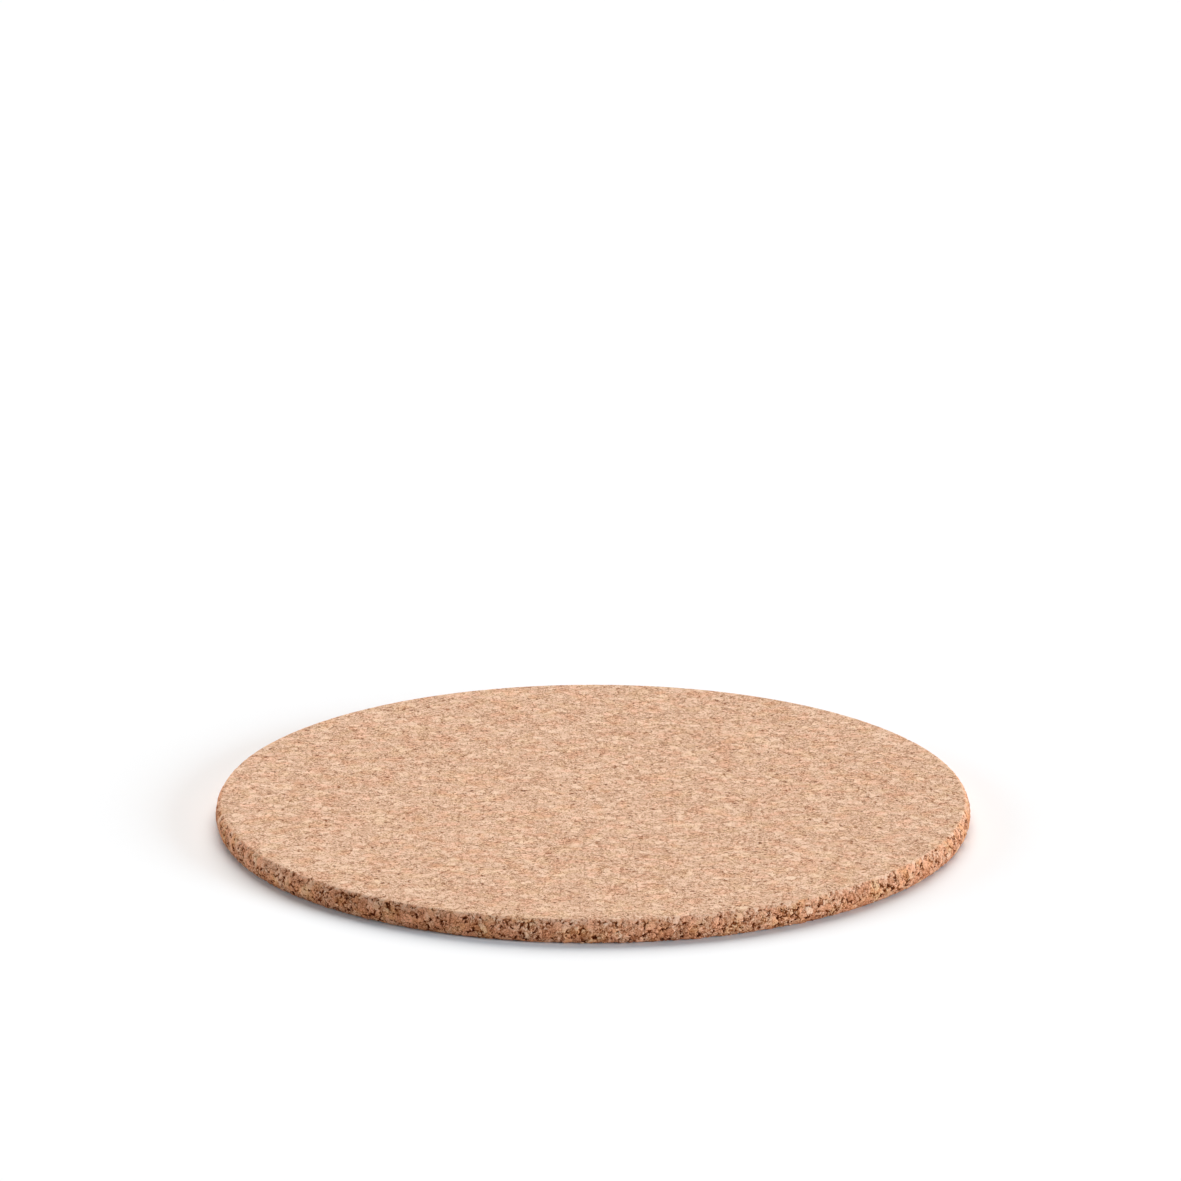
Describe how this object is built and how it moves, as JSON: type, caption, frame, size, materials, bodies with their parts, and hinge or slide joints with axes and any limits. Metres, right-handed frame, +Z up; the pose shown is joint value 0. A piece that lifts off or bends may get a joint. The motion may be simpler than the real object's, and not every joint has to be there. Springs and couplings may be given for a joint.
{
  "type": "cork trivet",
  "caption": "Round flat trivet of pressed cork granules with a softly crowned rim, laid on a table to carry a hot pot or dish.",
  "frame": {"origin": "centre of the underside, on the table", "axes": "+Z up along the disc's axis, from the underside to the face that carries the pot; X and Y lie in the disc's plane and are free, because the disc is round"},
  "size_m": [0.3, 0.3, 0.01],
  "materials": {
    "cork": "matte"
  },
  "bodies": {
    "root": {"cork_disc": "cork"}
  },
  "joints": []
}
